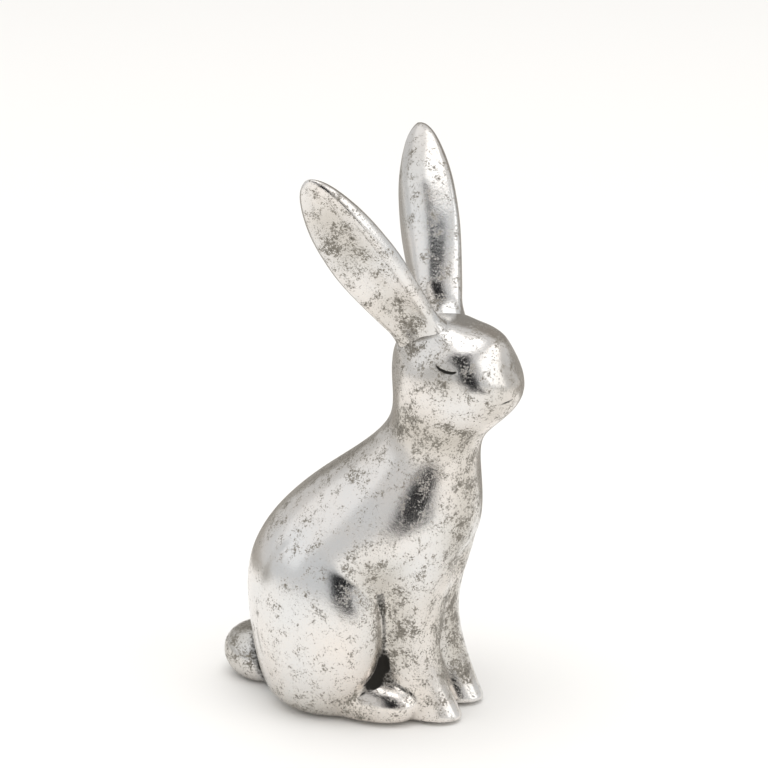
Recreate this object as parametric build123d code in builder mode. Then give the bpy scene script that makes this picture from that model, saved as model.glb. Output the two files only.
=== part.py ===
"""A slip-cast ceramic rabbit that sits upright: hollow body, luted ears and tail, four felt pads.

The frame has +X towards the nose, +Y towards the rabbit's left side and +Z up.
Its origin is on the surface that the rabbit stands on, under the middle of its outline.
Sizes are in millimetres and angles in degrees.
"""
import os
from math import asin, cos, radians, sin

from build123d import *

# Torso, from the base to the throat
TORSO_LENGTH = 90.0
TORSO_HEIGHT = 100.0
TORSO_WIDTH = 71.0

# Head, measured from the middle of the throat
HEAD_LENGTH = 46.0
HEAD_HEIGHT = 40.0
HEAD_WIDTH = 38.0

# Casting wall and the vent hole in the base
WALL = 5.0
VENT_DIAMETER = 14.0

# Haunches
HAUNCH_LENGTH = 48.0
HAUNCH_HEIGHT = 69.0
HAUNCH_WIDTH = 29.0

# Forelegs
LEG_LENGTH = 32.0
LEG_WIDTH = 24.0

# Hind feet
FOOT_LENGTH = 41.0
FOOT_HEIGHT = 19.0
FOOT_WIDTH = 19.0

# Ears
EAR_LENGTH = 86.0
EAR_WIDTH = 25.0
EAR_THICKNESS = 8.4
EAR_TURN = 8.0

# Tail
TAIL_LENGTH = 30.0
TAIL_HEIGHT = 22.5
TAIL_WIDTH = 29.0
TAIL_SEAT_DEPTH = 3.0

# Felt pads
PAD_DIAMETER = 10.0
PAD_THICKNESS = 1.0

# Rungs of the torso from the base up: the front point and the back point of each ellipse in
# shares of the torso's length and height, then its half width as a share of the torso's width
TORSO_RUNG_SHARES = (
    (0.175, 0.00, -0.35, 0.00, 0.40),
    (0.21, 0.08, -0.427, 0.08, 0.47),
    (0.22, 0.29, -0.485, 0.33, 0.48),
    (0.265, 0.466, -0.48, 0.50, 0.47),
    (0.42, 0.62, -0.366, 0.685, 0.42),
    (0.467, 0.777, -0.168, 0.848, 0.34),
    (0.461, 0.913, 0.029, 0.989, 0.26),
    (0.47, 1.007, 0.118, 1.10, 0.24),
)
# Middle of the throat, from which the head is measured
THROAT_SHARES = (0.294, 1.054)
# Rungs of the head from the throat to the brow, in the same order, in shares of the head's sizes
HEAD_RUNG_SHARES = (
    (0.45, 0.045, -0.33, 0.41, 0.487),
    (0.60, 0.214, -0.304, 0.726, 0.50),
    (0.68, 0.408, -0.057, 0.918, 0.447),
    (0.635, 0.588, 0.193, 0.973, 0.316),
    (0.57, 0.775, 0.39, 0.937, 0.158),
)
BROW_SHARES = (0.51, 0.87)
# The hollow follows this many rungs of the head and closes on this point
HOLLOW_HEAD_RUNGS = 2
HOLLOW_TOP_SHARES = (0.25, 0.66)

# Widest ring of the haunch, the hind foot and the tail: its middle in shares of the torso's length
# and width, then its height above the base as a share of the piece's own height
HAUNCH_PLACE_SHARES = (-0.089, -0.324, 0.49)
FOOT_PLACE_SHARES = (0.083, -0.265, 0.29)
TAIL_PLACE_SHARES = (-0.467, 0, 0.30)
# Step back of the tail's rings, as a share of their height above its widest ring
TAIL_LEAN_SHARE = 0.2
# Rings of the haunches, hind feet and tail, and the turn of the last one before they close
EGG_RINGS = 7
EGG_LAST_TURN = 72.0

# Foreleg sections from the shoulder down: middle in shares of the torso's length, width and
# height, then half length and half width in shares of the leg's sizes
LEG_SECTION_SHARES = (
    (0.21, -0.11, 0.78, 0.45, 0.36),
    (0.222, -0.13, 0.60, 0.50, 0.52),
    (0.19, -0.08, 0.405, 0.45, 0.66),
    (0.215, -0.13, 0.23, 0.38, 0.46),
    (0.28, -0.137, 0.08, 0.373, 0.35),
    (0.32, -0.13, 0.00, 0.39, 0.36),
)

# Root of the ear, from the middle of the throat, in shares of the head's length and height
EAR_ROOT_SHARES = (0.065, 0.61)
# Bend and tip of the ear's line, from its root, in shares of the ear's length
EAR_BEND_SHARES = (-0.188, -0.275, 0.374)
EAR_TIP_SHARES = (-0.358, -0.50, 0.82)
# Ear sections: place along the line, width, thickness, and height of the outer face's middle
EAR_SECTION_SHARES = (
    (0.08, 0.58, 1.00, 0.70),
    (0.18, 0.69, 1.00, 0.58),
    (0.28, 0.79, 1.00, 0.42),
    (0.38, 0.88, 1.00, 0.30),
    (0.48, 0.96, 1.00, 0.22),
    (0.58, 0.99, 1.00, 0.20),
    (0.68, 0.95, 0.97, 0.20),
    (0.78, 0.85, 0.90, 0.22),
    (0.88, 0.65, 0.76, 0.30),
    (0.96, 0.37, 0.50, 0.40),
)
# Rim crest on the ear's outer face and round of its inner face, in shares of its half sizes
EAR_CREST_SHARES = (0.70, 0.75)
EAR_ROUND_SHARES = (0.62, -0.72)

# Middle of the vent hole along the torso's length
VENT_PLACE_SHARE = -0.11
# Middles of the front and rear pads: shares of the torso's length and width
FRONT_PAD_SHARES = (0.317, 0.134)
REAR_PAD_SHARES = (-0.20, 0.21)

BASE_Z = PAD_THICKNESS
THROAT = Vector(TORSO_LENGTH * THROAT_SHARES[0], 0, BASE_Z + TORSO_HEIGHT * THROAT_SHARES[1])


def torso_point(shares):
    """Point in the torso's own shares: length, width, height above the base."""
    along, across, height = shares
    return Vector(TORSO_LENGTH * along, TORSO_WIDTH * across, BASE_Z + TORSO_HEIGHT * height)


def head_point(along, height):
    """Point in the middle plane in shares of the head, from the throat."""
    return THROAT + Vector(HEAD_LENGTH * along, 0, HEAD_HEIGHT * height)


def rung_face(front, back, half_width, inset=0):
    """Ellipse across the middle plane from its front point to its back point, drawn in by an inset."""
    along = (front - back).normalized()
    plane = Plane((front + back) / 2, x_dir=along, z_dir=along.cross(Vector(0, 1, 0)))
    with BuildSketch(plane) as section:
        Ellipse((front - back).length / 2 - inset, half_width - inset)
    return section.sketch


def egg(place_shares, length, width, height, lean=0):
    """Egg that stands cut flat on the base, widest at its middle, and leans back with its height."""
    along, across, widest = place_shares
    middle = torso_point((along, across, 0)) + Vector(0, 0, height * widest)
    reach = height / 2
    rise = Vector(-lean, 0, 1)
    first_turn = -asin(2 * widest)
    last_turn = radians(EGG_LAST_TURN)
    sections = []
    for ring in range(EGG_RINGS):
        turn = first_turn + (last_turn - first_turn) * ring / (EGG_RINGS - 1)
        with BuildSketch(Plane(middle + rise * (reach * sin(turn)), x_dir=(-1, 0, 0))) as section:
            Ellipse(length / 2 * cos(turn), width / 2 * cos(turn))
        sections.append(section.sketch)
    with BuildPart() as form:
        loft(sections=sections + [Vertex(*(middle + rise * reach))])
    return form.part


def ear_section(line, outward, place, width, thickness, middle_height):
    """Cross-section of the ear at a place along its line: dished outside, rounded inside."""
    tangent = line % place
    half_width = EAR_WIDTH * width / 2
    half_thickness = EAR_THICKNESS * thickness / 2
    crest_x, crest_y = half_width * EAR_CREST_SHARES[0], half_thickness * EAR_CREST_SHARES[1]
    round_x, round_y = half_width * EAR_ROUND_SHARES[0], half_thickness * EAR_ROUND_SHARES[1]
    outline = (
        (half_width, 0),
        (crest_x, crest_y),
        (0, half_thickness * middle_height),
        (-crest_x, crest_y),
        (-half_width, 0),
        (-round_x, round_y),
        (0, -half_thickness),
        (round_x, round_y),
    )
    with BuildSketch(Plane(line @ place, x_dir=outward.cross(tangent), z_dir=tangent)) as section:
        with BuildLine():
            Spline(*outline, periodic=True)
        make_face()
    return section.sketch


# Rungs of the torso and the head, as front point, back point and half width
rungs = []
for front_x, front_z, back_x, back_z, half_width in TORSO_RUNG_SHARES:
    front, back = torso_point((front_x, 0, front_z)), torso_point((back_x, 0, back_z))
    rungs.append((front, back, TORSO_WIDTH * half_width))
for front_x, front_z, back_x, back_z, half_width in HEAD_RUNG_SHARES:
    front, back = head_point(front_x, front_z), head_point(back_x, back_z)
    rungs.append((front, back, HEAD_WIDTH * half_width))

# Skin of the torso, neck and head in one sweep of ellipses that closes on the brow
with BuildPart() as skin:
    brow = head_point(*BROW_SHARES)
    loft(sections=[rung_face(*rung) for rung in rungs] + [Vertex(*brow)])

# Hollow left by the slip: the same sweep drawn in by the wall, with a thick crown under the ears
with BuildPart() as hollow:
    base_front, base_back, base_half_width = rungs[0]
    rise = Vector(0, 0, WALL)
    floor_face = rung_face(base_front + rise, base_back + rise, base_half_width, inset=WALL)
    hollow_rungs = rungs[1 : len(TORSO_RUNG_SHARES) + HOLLOW_HEAD_RUNGS]
    wall_faces = [rung_face(*rung, inset=WALL) for rung in hollow_rungs]
    hollow_top = head_point(*HOLLOW_TOP_SHARES)
    loft(sections=[floor_face] + wall_faces + [Vertex(*hollow_top)])

# Right foreleg, from the shoulder to the paw
with BuildPart() as leg:
    for along, across, height, half_length, half_width in LEG_SECTION_SHARES:
        with BuildSketch(Plane(torso_point((along, across, height)))):
            Ellipse(LEG_LENGTH * half_length, LEG_WIDTH * half_width)
    loft()

# Right limbs together: haunch, hind foot and foreleg
with BuildPart() as right_limbs:
    add(egg(HAUNCH_PLACE_SHARES, HAUNCH_LENGTH, HAUNCH_WIDTH, HAUNCH_HEIGHT))
    add(egg(FOOT_PLACE_SHARES, FOOT_LENGTH, FOOT_WIDTH, FOOT_HEIGHT))
    add(leg.part)

# Ears: blades with a dished outer face, bent outwards along a line that starts inside the head
ear_root = head_point(*EAR_ROOT_SHARES)
ear_bend = ear_root + EAR_LENGTH * Vector(*EAR_BEND_SHARES)
ear_tip = ear_root + EAR_LENGTH * Vector(*EAR_TIP_SHARES)
ear_line = Bezier(ear_root, ear_bend, ear_tip)
ear_outward = Vector(sin(radians(EAR_TURN)), -cos(radians(EAR_TURN)), 0)
with BuildPart() as ear_right:
    sections = [ear_section(ear_line, ear_outward, *shares) for shares in EAR_SECTION_SHARES]
    loft(sections=sections + [Vertex(*ear_tip)])

with BuildPart() as ear_left:
    mirror(ear_right.part, about=Plane.XZ)

# Tail: a low egg that leans back, cut flat where it seats in the rump
rump = rungs[1][1]
with BuildPart() as tail:
    add(egg(TAIL_PLACE_SHARES, TAIL_LENGTH, TAIL_WIDTH, TAIL_HEIGHT, lean=TAIL_LEAN_SHARE))
    split(bisect_by=Plane.YZ.offset(rump.X + TAIL_SEAT_DEPTH), keep=Keep.BOTTOM)

# Body casting: skin and limbs in one piece, hollow, vented, with seats for the ears and the tail
with BuildPart() as body_casting:
    add(skin.part)
    add(right_limbs.part)
    mirror(right_limbs.part, about=Plane.XZ)
    add(hollow.part, mode=Mode.SUBTRACT)
    with Locations(torso_point((VENT_PLACE_SHARE, 0, 0))):
        Cylinder(VENT_DIAMETER / 2, 2 * WALL, mode=Mode.SUBTRACT)
    for luted in (ear_right, ear_left, tail):
        add(luted.part, mode=Mode.SUBTRACT)

pieces = {"body_casting": body_casting, "ear_right": ear_right, "ear_left": ear_left, "tail": tail}

# Felt pads, glued under the paws and the rump
for end, (along, across) in (("front", FRONT_PAD_SHARES), ("rear", REAR_PAD_SHARES)):
    for side, sign in (("right", -1), ("left", 1)):
        with BuildPart() as pad:
            with BuildSketch():
                with Locations((TORSO_LENGTH * along, sign * TORSO_WIDTH * across)):
                    Circle(PAD_DIAMETER / 2)
            extrude(amount=PAD_THICKNESS)
        pieces[f"foot_pad_{end}_{side}"] = pad

os.makedirs("parts", exist_ok=True)
for name, piece in pieces.items():
    piece.part.label = name
    export_step(piece.part, f"parts/{name}.step")
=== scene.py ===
"""Looks of the sitting rabbit: antique silver leaf on slip-cast ceramic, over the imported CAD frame."""

from math import cos, radians, sin

import bmesh
import bpy
import numpy as np
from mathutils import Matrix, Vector
from mathutils.bvhtree import BVHTree


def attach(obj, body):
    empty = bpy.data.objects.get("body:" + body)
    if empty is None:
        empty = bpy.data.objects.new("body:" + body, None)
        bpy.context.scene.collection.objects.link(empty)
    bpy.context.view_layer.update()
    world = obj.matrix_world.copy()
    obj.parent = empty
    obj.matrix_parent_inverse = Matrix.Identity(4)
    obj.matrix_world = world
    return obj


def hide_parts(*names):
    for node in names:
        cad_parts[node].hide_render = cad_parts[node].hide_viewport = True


MM = 0.001

# Even skins made from the CAD pieces: cell size and rounds of smoothing
BODY_CELL = 0.65 * MM
BODY_ROUNDS = 24
LUTED_CELL = 0.5 * MM
LUTED_ROUNDS = 10

# Creases: rounds of smoothing that they are measured against, and the depth that counts as full
CAVITY_ROUNDS = 60
CAVITY_FULL = 0.5 * MM

# Soft joins: the haunch runs smoothly into the flank behind the knee, and the leg into the shoulder
SOFT_ROUNDS = 320
SOFT_EDGE = 10.0 * MM
KNEE_X = 3.0 * MM
FLANK_Z = 5.0 * MM
LEG_X = 17.0 * MM
SHOULDER_Z = 44.0 * MM
THROAT_Z = 98.0 * MM
# Corner of the nook round the tail, which stays sharp
TAIL_NOOK = np.array((-30.0, 17.0, 24.0)) * MM

# Ear relief across its width, from -1 at the rear edge to 1 at the front edge: place, spread to the
# rear, spread to the front, and height
EAR_RIM = (0.82, 0.13, 0.15, 2.2 * MM)
EAR_DISH = (0.35, 0.45, 0.36, -0.9 * MM)
# Dark line inside the rolled rim, in the same form with a strength for the height
EAR_LINE = (0.62, 0.05, 0.05, 0.7)
# Rounded back of the ear: place and height of its crest
EAR_CREST = -0.1
EAR_CREST_HEIGHT = 4.6 * MM
# Stretches over which the relief fades out, and the power by which it does so at the edges
EAR_ROOT_FADE = 20.0 * MM
EAR_TIP_FADE = 26.0 * MM
EAR_EDGE_POWER = 8
# Step along the ear at which its edges are found, and the degree of the curves fitted to them
EAR_SLICE = 2.0 * MM
EAR_EDGE_DEGREE = 6

# Reach of the slip that fills the corner beside a luted piece, and its height as a share of that
EAR_SLIP = 9.0 * MM
TAIL_SLIP = 2.4 * MM
SLIP_SHARE = 0.25
# Bands of dark wash and painted shade along the joints, and of darkening towards the base
EAR_WASH_AND_SHADE = 4.0 * MM
TAIL_WASH_AND_SHADE = 9.0 * MM
BASE_DARK_REACH = 2.5 * MM
BASE_DARK_STRENGTH = 0.8

# Closed eye: points of the slit on the rabbit's right side in millimetres, then width, depth and tone
EYE_PATH = (
    (32.9, -16.9, 134.6),
    (35.3, -17.6, 133.1),
    (37.7, -17.6, 132.4),
    (39.9, -17.4, 132.3),
    (41.6, -16.9, 132.8),
)
EYE_LINE = (0.48 * MM, 0.4 * MM, 1.0)
# Corner of the mouth: its line on the right cheek, in the same form
MOUTH_PATH = ((53.9, -9.4, 120.4), (55.5, -7.4, 120.9), (56.9, -4.2, 121.5))
MOUTH_LINE = (0.4 * MM, 0.2 * MM, 0.45)
# A line is strongest past its middle, and holds most of its strength to near its ends
LINE_SWELL = 1.2
LINE_FULLNESS = 0.6
# How far a line is felt, in widths of its own
LINE_REACH = 4
# Points on each stretch of a line's path
LINE_STEPS = 12
# Margin round a line in which the skin is made finer, and the cuts that do so
FACE_MARGIN = 2.5 * MM
FACE_CUTS = 2

# Paths along which the leaf is rubbed thin, on both sides: points and reach in millimetres, then strength
WORN_PATHS = (
    (((3.0, -36.0, 186.0), (9.0, -30.0, 174.0)), 8.0, 0.75),
    (((17.0, -17.0, 153.0), (21.5, -12.0, 147.0), (20.0, -14.0, 138.0)), 8.0, 0.65),
    (((9.0, -14.0, 116.0), (2.0, -8.0, 101.0), (-20.0, -4.0, 84.0), (-40.0, -6.0, 62.0)), 12.0, 0.7),
    (((18.0, -17.0, 111.0), (30.0, -16.0, 108.0), (41.0, -10.0, 105.0)), 9.0, 0.9),
    (((44.0, -6.0, 98.0), (41.4, -6.0, 82.5), (38.0, -8.0, 70.0), (32.7, -4.0, 56.0)), 8.0, 0.8),
    (((16.0, -25.0, 56.0), (20.0, -22.0, 42.0), (19.0, -21.0, 28.0)), 9.0, 0.8),
    (((30.0, -12.0, 44.0), (29.0, -17.0, 28.0), (33.0, -15.0, 12.0)), 8.0, 0.35),
    (((30.0, -4.0, 42.0), (29.0, -7.0, 26.0), (33.0, -7.0, 12.0)), 6.0, 1.0),
    (((-48.0, -6.0, 30.0), (-50.0, -8.0, 10.0)), 10.0, 0.8),
    (((-40.0, -22.0, 8.0), (-20.0, -31.0, 4.0), (10.0, -31.0, 4.0)), 9.0, 0.5),
    (((33.0, -17.5, 131.0), (38.0, -17.5, 129.0)), 6.0, 0.6),
    (((54.0, -6.0, 128.0), (52.0, -8.0, 118.0)), 8.0, 0.6),
)
# Paths of painted shade in the deep recess beside the hind foot, in the same form
RECESS_SHADE_PATHS = (
    (((16.0, -20.5, 36.0), (16.0, -20.5, 26.0)), 3.0, 0.8),
    (((15.5, -20.5, 22.0), (13.0, -23.0, 16.0)), 6.0, 1.1),
    (((19.0, -22.0, 13.5), (25.0, -22.0, 5.0)), 3.0, 1.0),
)
# Step along these paths in millimetres
PATH_STEP = 3.0
# Painted shade keeps to the hollow: its rise with the depth of the hollow, and its level on an even skin
RECESS_SHADE_SLOPE = 2.0
RECESS_SHADE_LEVEL = 0.5

# Colours of the leaf, of the ceramic where it is flaked off, and of the wash and painted shade
LEAF_COOL = (0.76, 0.76, 0.755)
LEAF_WARM = (0.835, 0.778, 0.725)
TARNISH = (0.50, 0.465, 0.41)
WORN_DARK = (0.075, 0.066, 0.053)
WORN_LIGHT = (0.32, 0.293, 0.25)
WASH_AND_SHADE_BROWN = (0.02, 0.018, 0.015)
BLACK = (0.0, 0.0, 0.0)
WHITE = (1.0, 1.0, 1.0)
# Noises of the leaf: scale, detail and roughness
SHADES = (24, 4, 0.55)
CLUSTERS = (190, 4, 0.7)
FLAKES = (1150, 5, 0.72)
GRAIN = (2300, 4, 0.65)
# Weights of shades and grain in the leaf's tone
TONE_WEIGHTS = (0.7, 0.3)
# Weights of clusters, flakes, grain and rubbing in what has flaked off
FLAKED_WEIGHTS = (0.42, 0.42, 0.16, 0.072)
# Weights of settled wash with painted shade, and of flakes, in what is dark
WASHED_AND_SHADED_WEIGHTS = (0.75, 0.5)
# Weights of clusters, bare ceramic, and dark wash with painted shade in the roughness, over that of new
# leaf
ROUGHNESS_WEIGHTS = (0.12, 0.3, 0.35)
NEW_LEAF_ROUGHNESS = 0.12
# Weights of flakes and of what has flaked off in the bump's height
BUMP_WEIGHTS = (0.6, -0.5)
# Spans of value over which each quality comes in
TONE_SPAN = (0.40, 0.60)
FLAKED_SPAN = (0.547, 0.583)
WASHED_AND_SHADED_SPAN = (0.66, 0.86)
LINE_SPAN = (0.10, 0.40)
WORN_SPAN = (0.38, 0.62)
# Shares of a crease that count as rubbed and as washed and shaded, of rubbing that tarnishes, of a flake
# that is bare
CREASE_RUBBED = 0.8
CREASE_WASHED_AND_SHADED = 0.72
TARNISHED = 0.85
FLAKE_BARE = 0.8
LEAF_SPECULAR = 0.2
# Bumps: strength and distance
LEAF_BUMP = (0.35, 0.2 * MM)
FELT_BUMP = (0.6, 0.15 * MM)

# Felt: noise of its fibres, their colours, the span between them, and roughness
FIBRES = (2600, 5, 0.7)
FELT_DARK = (0.10, 0.095, 0.09)
FELT_LIGHT = (0.24, 0.225, 0.21)
FELT_SPAN = (0.3, 0.7)
FELT_ROUGHNESS = 0.95

# Sockets of a Mix node that blends colours
MIX_COLOURS = (6, 7)
MIX_RESULT = 2

# Camera of the photograph
CAMERA_AZIMUTH = 26.0
CAMERA_ELEVATION = 19.0
CAMERA_DISTANCE = 1110.5 * MM
CAMERA_TARGET = Vector((6.0, 0.0, 118.0)) * MM
CAMERA_LENS = 150.0

# Stage: sizes and distances in metres, directions in degrees round from the rabbit's right side and up
FLOOR_SIZE = 8.0
FLOOR_TONE = (0.93, 0.91, 0.88)
STAGE_ROUGHNESS = 0.9
WORLD_TONE = (0.98, 0.99, 1.0)
WORLD_STRENGTH = 0.72
DARK_ROOM = (0.015, 0.015, 0.017)
DIM_WALL = (0.30, 0.285, 0.26)
DIM_FLOOR = (0.45, 0.43, 0.40)
# Standing cards: width, height, tone, direction round, direction up and distance
STANDING_CARDS = {
    "dark_room": (0.48, 0.86, DARK_ROOM, 27, 13, 0.75),
    "dark_ceiling": (0.46, 0.32, DARK_ROOM, 16, 48, 0.75),
    "dim_wall": (3.4, 2.2, DIM_WALL, 192, 22, 1.8),
}
# Lying cards: width, length, tone, direction round and distance
LYING_CARDS = {
    "dark_table": (0.30, 0.58, DARK_ROOM, 38, 0.65),
    "dim_floor": (2.4, 1.6, DIM_FLOOR, 206, 0.95),
}
# Height of the lying cards above the floor
CARD_LIFT = 2.0 * MM
# Softboxes: direction round, direction up, distance, size and power in watts
SOFTBOXES = {
    "softbox_left": (-65, 40, 2.2, 2.4, 5),
    "softbox_right": (88, 26, 2.0, 1.6, 7),
    "softbox_top": (40, 80, 2.2, 1.5, 7),
}
# Lamp that lights the floor and isn't mirrored in the leaf, in the same form
FLOOR_FILL = (0, 90, 2.4, 3.0, 26)

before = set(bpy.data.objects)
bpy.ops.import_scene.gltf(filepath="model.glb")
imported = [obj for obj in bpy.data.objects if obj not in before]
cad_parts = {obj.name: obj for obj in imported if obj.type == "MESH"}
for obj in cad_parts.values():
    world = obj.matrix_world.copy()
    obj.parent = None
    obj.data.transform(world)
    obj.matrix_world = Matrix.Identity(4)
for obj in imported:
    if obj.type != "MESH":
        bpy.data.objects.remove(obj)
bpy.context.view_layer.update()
scene = bpy.context.scene


def even_skin(name, node, cell):
    """Closed skin of even quads over a CAD node."""
    skin = bpy.data.objects.new(name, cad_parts[node].data.copy())
    scene.collection.objects.link(skin)
    remesh = skin.modifiers.new("even", "REMESH")
    remesh.mode = "VOXEL"
    remesh.voxel_size = cell
    shown = skin.evaluated_get(bpy.context.evaluated_depsgraph_get())
    rough = skin.data
    skin.data = bpy.data.meshes.new_from_object(shown)
    skin.data.name = name
    skin.modifiers.clear()
    bpy.data.meshes.remove(rough)
    return skin


def points_of(piece):
    points = np.empty(len(piece.data.vertices) * 3)
    piece.data.vertices.foreach_get("co", points)
    return points.reshape(-1, 3)


def normals_of(piece):
    normals = np.empty(len(piece.data.vertices) * 3)
    piece.data.vertex_normals.foreach_get("vector", normals)
    return normals.reshape(-1, 3)


def move_to(piece, points):
    piece.data.vertices.foreach_set("co", points.ravel())
    piece.data.update()


def paint(piece, name, values):
    """Keep a value from 0 to 1 for each point, for the material to read."""
    layer = piece.data.attributes.new(name, "FLOAT", "POINT")
    layer.data.foreach_set("value", np.clip(values, 0, 1).astype(np.float32))


def soft_step(values):
    """Smooth rise from 0 to 1 over the same range."""
    part = np.clip(values, 0, 1)
    return part * part * (3 - 2 * part)


def relaxed(piece, rounds):
    """Points of a piece after rounds of moving each half way to the mean of its neighbours."""
    edges = np.empty(len(piece.data.edges) * 2, dtype=np.int32)
    piece.data.edges.foreach_get("vertices", edges)
    one, other = edges.reshape(-1, 2).T
    points = points_of(piece)
    count = len(points)
    degree = np.bincount(edges, minlength=count)
    for _ in range(rounds):
        for axis in range(3):
            along = points[:, axis]
            total = np.bincount(one, along[other], count) + np.bincount(other, along[one], count)
            points[:, axis] = (along + total / degree) / 2
    return points


def cavity(piece):
    """How far the skin lies below the mean of its surroundings: 1 deep in a crease, -1 on a sharp rim."""
    deep = ((relaxed(piece, CAVITY_ROUNDS) - points_of(piece)) * normals_of(piece)).sum(1)
    return np.clip(deep / CAVITY_FULL, -1, 1)


def soften_joins(piece):
    """Fill the long joins of haunch and shoulder as far as a strong smoothing would."""
    points = points_of(piece)
    x, y, z = points.T
    behind = soft_step((KNEE_X - x) / SOFT_EDGE) * soft_step((z - FLANK_Z) / SOFT_EDGE)
    nook_x, nook_y, nook_z = TAIL_NOOK
    behind[(x < nook_x) & (np.abs(y) < nook_y) & (z < nook_z)] = 0
    shoulder = soft_step((x - LEG_X) / SOFT_EDGE) * soft_step((z - SHOULDER_Z) / SOFT_EDGE)
    shoulder *= soft_step((THROAT_Z - z) / SOFT_EDGE)
    normals = normals_of(piece)
    rise = ((relaxed(piece, SOFT_ROUNDS) - points) * normals).sum(1).clip(0)
    move_to(piece, points + normals * (rise * np.maximum(behind, shoulder))[:, None])


def relief(across, form):
    """Height of a rounded rise at places across a surface."""
    place, to_rear, to_front, height = form
    spread = np.where(across < place, to_rear, to_front)
    return height * np.exp(-((across - place) / spread) ** 2)


def shape_ear(piece):
    """Roll the ear's front rim, dish its outer face and round its back.

    The relief fades out towards the root and the tip. Returns how dark the line inside the rim is.
    """
    points = points_of(piece)
    middle = points.mean(0)
    along, forward, outward = np.linalg.svd(points - middle, full_matrices=False)[2]
    along *= np.sign(along[2])
    forward *= np.sign(forward[0])
    outward *= np.sign(outward[1]) * np.sign(middle[1])
    length, width = ((points - middle) @ np.stack((along, forward)).T).T
    slices = np.arange(length.min() + EAR_SLICE, length.max(), EAR_SLICE)
    near = [width[np.abs(length - at) < EAR_SLICE] for at in slices]
    rear, front = (
        np.polynomial.Polynomial.fit(slices, [edge(part) for part in near], EAR_EDGE_DEGREE)(length)
        for edge in (np.min, np.max)
    )
    across = np.clip((2 * width - rear - front) / (front - rear), -1, 1)
    held = (1 - across ** EAR_EDGE_POWER) * soft_step((length - length.min()) / EAR_ROOT_FADE)
    held *= soft_step((length.max() - length) / EAR_TIP_FADE)
    outer = relief(across, EAR_RIM) + relief(across, EAR_DISH)
    from_crest = across - EAR_CREST
    crest_to_edge = np.sign(from_crest) - EAR_CREST
    inner = EAR_CREST_HEIGHT * (1 - (from_crest / crest_to_edge) ** 2)
    facing_out = (normals_of(piece) @ outward).clip(-1, 1)
    rise = held * (outer * facing_out.clip(0) + inner * facing_out.clip(None, 0))
    move_to(piece, points + rise[:, None] * outward)
    return held * relief(across, EAR_LINE) * soft_step(facing_out)


def tree_of(piece):
    """Search tree over a piece's faces."""
    points = [vertex.co for vertex in piece.data.vertices]
    return BVHTree.FromPolygons(points, [face.vertices for face in piece.data.polygons])


def gaps_to(points, tree, reach):
    """Distance of each point from another piece, no more than the reach."""
    found = (tree.find_nearest(point, reach) for point in points)
    return np.array([reach if gap is None else gap for _, _, _, gap in found])


def fill_corner(piece, gaps, reach):
    """Raise the skin beside another piece, as luted slip fills the corner between them."""
    rise = (1 - gaps / reach).clip(0) ** 2 * reach * SLIP_SHARE
    move_to(piece, points_of(piece) + normals_of(piece) * rise[:, None])


def mirrored(path):
    return [(x, -y, z) for x, y, z in path]


def on_skin(path, tree):
    """Fine points along a path, each on the skin."""
    corners = np.array(path) * MM
    share = np.linspace(0, len(corners) - 1, LINE_STEPS * (len(corners) - 1) + 1)
    fine = np.stack([np.interp(share, np.arange(len(corners)), corners[:, axis]) for axis in range(3)], 1)
    return np.array([tree.find_nearest(point)[0] for point in fine])


def refine(piece, path, margin):
    """Split the quads near a path, so that they can hold a fine line."""
    points = points_of(piece)
    inside = ((points > path.min(0) - margin) & (points < path.max(0) + margin)).all(1)
    form = bmesh.new()
    form.from_mesh(piece.data)
    form.verts.ensure_lookup_table()
    edges = [edge for edge in form.edges if all(inside[end.index] for end in edge.verts)]
    bmesh.ops.subdivide_edges(form, edges=edges, cuts=FACE_CUTS, use_grid_fill=True)
    form.to_mesh(piece.data)
    form.free()


def score(piece, path, width, depth):
    """Press a line into the skin, and return how far each point lies in it, from 0 to 1."""
    points = points_of(piece)
    near = (np.abs(points - path.mean(0)) < np.ptp(path, 0) / 2 + LINE_REACH * width).all(1)
    away = np.linalg.norm(points[near][:, None] - path[None], axis=2)
    place = away.argmin(1) / (len(path) - 1)
    strength = np.exp(-((away.min(1) / width) ** 2)) * np.sin(np.pi * place ** LINE_SWELL) ** LINE_FULLNESS
    share = np.zeros(len(points))
    share[near] = strength
    move_to(piece, points - normals_of(piece) * (share * depth)[:, None])
    return share


def along_path(path):
    """Points at even steps along a path of given points in millimetres."""
    corners = np.array(path)
    places = np.concatenate(((0,), np.cumsum(np.linalg.norm(np.diff(corners, axis=0), axis=1))))
    steps = np.append(np.arange(0, places[-1], PATH_STEP), places[-1])
    return np.stack([np.interp(steps, places, corners[:, axis]) for axis in range(3)], 1) * MM


def nearness(points, paths):
    """How far each point lies in the reach of a path, on either side."""
    folded = points.copy()
    folded[:, 1] = -np.abs(folded[:, 1])
    level = np.zeros(len(points))
    for path, reach, strength in paths:
        for place in along_path(path):
            away = np.linalg.norm(folded - place, axis=1) / (reach * MM)
            level = np.maximum(level, strength * np.exp(-(away ** 2)))
    return level


def new_material(name):
    """Node material, its tree and its shader."""
    material = bpy.data.materials.new(name)
    material.use_nodes = True
    return material, material.node_tree, material.node_tree.nodes["Principled BSDF"]


def attribute(tree, name):
    """Value painted on the points."""
    node = tree.nodes.new("ShaderNodeAttribute")
    node.attribute_name = name
    return node.outputs["Fac"]


def noise(tree, place, scale, detail, roughness):
    node = tree.nodes.new("ShaderNodeTexNoise")
    node.inputs["Scale"].default_value = scale
    node.inputs["Detail"].default_value = detail
    node.inputs["Roughness"].default_value = roughness
    tree.links.new(place, node.inputs["Vector"])
    return node.outputs["Fac"]


def ramp(tree, source, span, low=BLACK, high=WHITE):
    """Ramp from one colour to another over a span of a value."""
    node = tree.nodes.new("ShaderNodeValToRGB")
    for element, place, colour in zip(node.color_ramp.elements, span, (low, high)):
        element.position = place
        element.color = (*colour, 1)
    tree.links.new(source, node.inputs["Fac"])
    return node.outputs["Color"]


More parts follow.
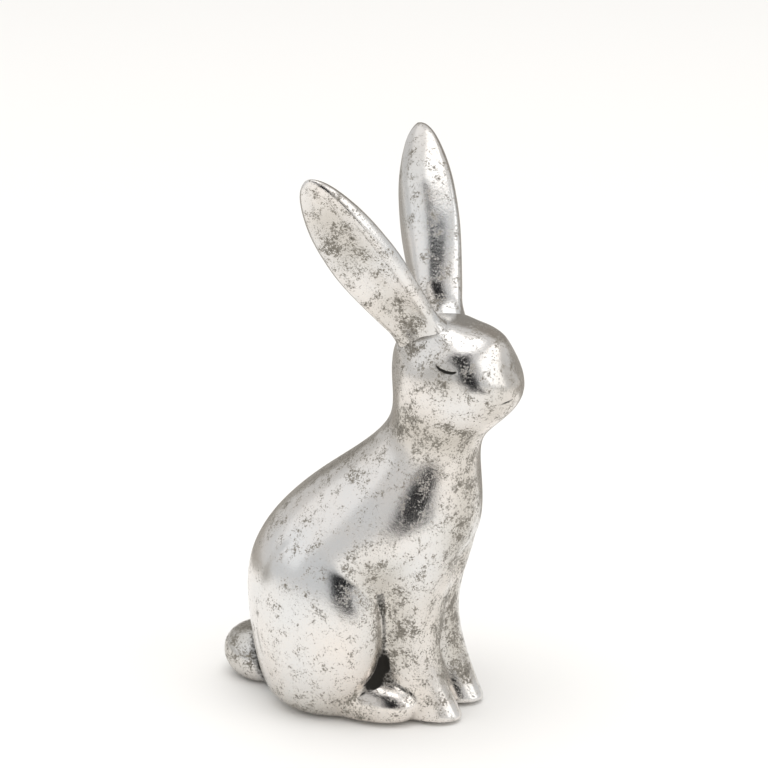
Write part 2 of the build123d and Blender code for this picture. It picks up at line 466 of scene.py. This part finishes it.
def calculate(tree, operation, one, other):
    """Result of an operation on two values, each an output or a number."""
    node = tree.nodes.new("ShaderNodeMath")
    node.operation = operation
    for socket, value in zip(node.inputs, (one, other)):
        if isinstance(value, (int, float)):
            socket.default_value = value
        else:
            tree.links.new(value, socket)
    return node.outputs["Value"]


def weighted(tree, sources, weights):
    """Sum of values, each times its weight."""
    first, *others = (calculate(tree, "MULTIPLY", *pair) for pair in zip(sources, weights))
    for other in others:
        first = calculate(tree, "ADD", first, other)
    return first


def mixed(tree, share, one, other):
    """Blend of two colours by a share."""
    node = tree.nodes.new("ShaderNodeMix")
    node.data_type = "RGBA"
    tree.links.new(share, node.inputs["Factor"])
    for socket, colour in zip(MIX_COLOURS, (one, other)):
        if isinstance(colour, tuple):
            node.inputs[socket].default_value = (*colour, 1)
        else:
            tree.links.new(colour, node.inputs[socket])
    return node.outputs[MIX_RESULT]


def add_bump(tree, shader, height, strength, distance):
    bump = tree.nodes.new("ShaderNodeBump")
    bump.inputs["Strength"].default_value = strength
    bump.inputs["Distance"].default_value = distance
    tree.links.new(height, bump.inputs["Height"])
    tree.links.new(bump.outputs["Normal"], shader.inputs["Normal"])


def silver_leaf():
    """Silver leaf over ceramic: soft metal, flaked where it is rubbed, dark where wash has settled and
    where shade is painted into creases and recesses.
    """
    material, tree, shader = new_material("antique_silver_leaf")
    place = tree.nodes.new("ShaderNodeTexCoord").outputs["Object"]
    painted = ("crease", "seam", "line", "wear", "recess_shade")
    crease, seam, line, wear, recess_shade = (attribute(tree, name) for name in painted)
    clusters = noise(tree, place, *CLUSTERS)
    flakes = noise(tree, place, *FLAKES)
    grain = noise(tree, place, *GRAIN)

    shade = weighted(tree, (noise(tree, place, *SHADES), grain), TONE_WEIGHTS)
    tone = ramp(tree, shade, TONE_SPAN, LEAF_COOL, LEAF_WARM)
    rubbed = calculate(tree, "MAXIMUM", calculate(tree, "MULTIPLY", crease, CREASE_RUBBED), wear)
    flaked = ramp(tree, weighted(tree, (clusters, flakes, grain, rubbed), FLAKED_WEIGHTS), FLAKED_SPAN)
    # Dark wash settled in creases and along the joints, together with painted shade in creases, joints and
    # the recess beside the hind foot
    settled_and_shaded = calculate(tree, "MAXIMUM", seam, recess_shade)
    settled_and_shaded = calculate(tree, "MAXIMUM", calculate(tree, "MULTIPLY", crease, CREASE_WASHED_AND_SHADED), settled_and_shaded)
    washed_and_shaded = ramp(tree, weighted(tree, (settled_and_shaded, flakes), WASHED_AND_SHADED_WEIGHTS), WASHED_AND_SHADED_SPAN)
    dark = calculate(tree, "MAXIMUM", washed_and_shaded, ramp(tree, line, LINE_SPAN))
    bare = calculate(tree, "MAXIMUM", calculate(tree, "MULTIPLY", flaked, FLAKE_BARE), dark)

    colour = mixed(tree, calculate(tree, "MULTIPLY", rubbed, TARNISHED), tone, TARNISH)
    colour = mixed(tree, flaked, colour, ramp(tree, grain, WORN_SPAN, WORN_DARK, WORN_LIGHT))
    # Near-black brown over the dark wash, the painted shade and the face's lines
    colour = mixed(tree, dark, colour, WASH_AND_SHADE_BROWN)
    roughness = weighted(tree, (clusters, bare, dark), ROUGHNESS_WEIGHTS)
    roughness = calculate(tree, "ADD", roughness, NEW_LEAF_ROUGHNESS)
    tree.links.new(colour, shader.inputs["Base Color"])
    tree.links.new(calculate(tree, "SUBTRACT", 1.0, bare), shader.inputs["Metallic"])
    tree.links.new(roughness, shader.inputs["Roughness"])
    shader.inputs["Specular IOR Level"].default_value = LEAF_SPECULAR
    add_bump(tree, shader, weighted(tree, (flakes, flaked), BUMP_WEIGHTS), *LEAF_BUMP)
    return material


def felt():
    """Short dark fibre."""
    material, tree, shader = new_material("felt")
    place = tree.nodes.new("ShaderNodeTexCoord").outputs["Object"]
    fibres = noise(tree, place, *FIBRES)
    colour = ramp(tree, fibres, FELT_SPAN, FELT_DARK, FELT_LIGHT)
    tree.links.new(colour, shader.inputs["Base Color"])
    shader.inputs["Roughness"].default_value = FELT_ROUGHNESS
    add_bump(tree, shader, fibres, *FELT_BUMP)
    return material


def plain(name, colour):
    """Plain matt stage material, and its shader."""
    material, _, shader = new_material(name)
    shader.inputs["Base Color"].default_value = (*colour, 1)
    shader.inputs["Roughness"].default_value = STAGE_ROUGHNESS
    return material, shader


def facing(azimuth, elevation):
    """Direction from the rabbit, by degrees round from its right side towards its nose and up."""
    turn, rise = radians(azimuth), radians(elevation)
    return Vector((sin(turn) * cos(rise), -cos(turn) * cos(rise), sin(rise)))


def set_towards(thing, azimuth, elevation, distance):
    """Place a thing in a direction from the rabbit, turned towards it."""
    away = facing(azimuth, elevation)
    thing.location = CAMERA_TARGET + away * distance
    thing.rotation_euler = away.to_track_quat("Z", "Y").to_euler()


def lay_towards(panel, azimuth, distance):
    """Lay a card just above the floor, in a direction from the rabbit."""
    panel.location = facing(azimuth, 0) * distance + Vector((0, 0, CARD_LIFT))
    panel.rotation_euler = (0, 0, radians(azimuth))


def card(name, width, height, colour):
    """Flat panel of even tone that only reflections see."""
    bpy.ops.mesh.primitive_plane_add(size=1)
    panel = bpy.context.object
    panel.name = name
    panel.scale = (width, height, 1)
    material, shader = plain(name, BLACK)
    shader.inputs["Specular IOR Level"].default_value = 0
    shader.inputs["Emission Color"].default_value = (*colour, 1)
    shader.inputs["Emission Strength"].default_value = 1
    panel.data.materials.append(material)
    panel.visible_camera = False
    panel.visible_diffuse = False
    panel.visible_shadow = False
    return panel


def softbox(name, azimuth, elevation, distance, size, power):
    """Square lamp turned towards the rabbit."""
    light = bpy.data.lights.new(name, "AREA")
    light.shape = "SQUARE"
    light.size = size
    light.energy = power
    lamp = bpy.data.objects.new(name, light)
    scene.collection.objects.link(lamp)
    set_towards(lamp, azimuth, elevation, distance)
    return lamp


# Body, and the ears and tail that are luted to it
body = even_skin("body_leafed", "body_casting", BODY_CELL)
soften_joins(body)
move_to(body, relaxed(body, BODY_ROUNDS))
luted = {}
rim_dark_line = {}
for node in ("ear_right", "ear_left", "tail"):
    piece = even_skin(f"{node}_leafed", node, LUTED_CELL)
    rim_dark_line[node] = 0 if node == "tail" else shape_ear(piece)
    move_to(piece, relaxed(piece, LUTED_ROUNDS))
    luted[node] = piece
pieces = {"body_casting": body, **luted}

# Slip, dark wash and painted shade along the joints, and darkening towards the base
body_tree = tree_of(body)
seam = np.zeros(len(body.data.vertices))
for node, piece in luted.items():
    slip, band = (TAIL_SLIP, TAIL_WASH_AND_SHADE) if node == "tail" else (EAR_SLIP, EAR_WASH_AND_SHADE)
    piece_gaps = gaps_to(points_of(piece), body_tree, max(slip, band))
    body_gaps = gaps_to(points_of(body), tree_of(piece), max(slip, band))
    fill_corner(piece, piece_gaps, slip)
    fill_corner(body, body_gaps, slip)
    # Dark wash and painted shade in a band along each joint, and on the ears the dark line inside the rim
    paint(piece, "seam", np.maximum(1 - piece_gaps / band, rim_dark_line[node]))
    seam = np.maximum(seam, 1 - body_gaps / band)
# The body darkens towards the base, over its lowest few millimetres
seam = np.maximum(seam, BASE_DARK_STRENGTH - points_of(body)[:, 2] / BASE_DARK_REACH)
paint(body, "seam", seam)

# Fine lines of the face, on both sides, and the creases as they are before the lines are pressed in
body_tree = tree_of(body)
face_lines = [
    (on_skin(side, body_tree), *form)
    for path, form in ((EYE_PATH, EYE_LINE), (MOUTH_PATH, MOUTH_LINE))
    for side in (path, mirrored(path))
]
for line, *_ in face_lines:
    refine(body, line, FACE_MARGIN)
deep = {node: cavity(piece) for node, piece in pieces.items()}
face = np.zeros(len(body.data.vertices))
for line, width, depth, tone in face_lines:
    face = np.maximum(face, score(body, line, width, depth) * tone)
paint(body, "line", face)

# Creases, wear, and painted shade in the deep recess beside the hind foot
for node, piece in pieces.items():
    points = points_of(piece)
    paint(piece, "crease", deep[node])
    paint(piece, "wear", nearness(points, WORN_PATHS))
    # Painted shade in the recess beside the hind foot, kept to the hollow
    paint(piece, "recess_shade", nearness(points, RECESS_SHADE_PATHS) * soft_step(RECESS_SHADE_SLOPE * deep[node] + RECESS_SHADE_LEVEL))

# Finishes
leaf = silver_leaf()
for node, piece in pieces.items():
    piece.data.materials.clear()
    piece.data.materials.append(leaf)
    piece.data.polygons.foreach_set("use_smooth", np.ones(len(piece.data.polygons), dtype=bool))
    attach(piece, "root")
    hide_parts(node)

pad_felt = felt()
for name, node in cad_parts.items():
    if name.startswith("foot_pad"):
        node.data.materials.clear()
        node.data.materials.append(pad_felt)

# Stage: pale floor, even light all round, softboxes, a dark opening by the camera and a dim wall behind
bpy.ops.mesh.primitive_plane_add(size=FLOOR_SIZE)
floor = bpy.context.object
floor.name = "floor"
floor.data.materials.append(plain("floor", FLOOR_TONE)[0])
for name, (width, height, tone, *direction) in STANDING_CARDS.items():
    set_towards(card(name, width, height, tone), *direction)
for name, (width, length, tone, *direction) in LYING_CARDS.items():
    lay_towards(card(name, width, length, tone), *direction)

scene.world = bpy.data.worlds.new("studio")
scene.world.use_nodes = True
background = scene.world.node_tree.nodes["Background"]
background.inputs["Color"].default_value = (*WORLD_TONE, 1)
background.inputs["Strength"].default_value = WORLD_STRENGTH
for name, form in SOFTBOXES.items():
    softbox(name, *form)
softbox("floor_fill", *FLOOR_FILL).visible_glossy = False

camera = bpy.data.objects.new("camera", bpy.data.cameras.new("camera"))
scene.collection.objects.link(camera)
camera.data.lens = CAMERA_LENS
set_towards(camera, CAMERA_AZIMUTH, CAMERA_ELEVATION, CAMERA_DISTANCE)
scene.camera = camera
scene.view_settings.view_transform = "Standard"
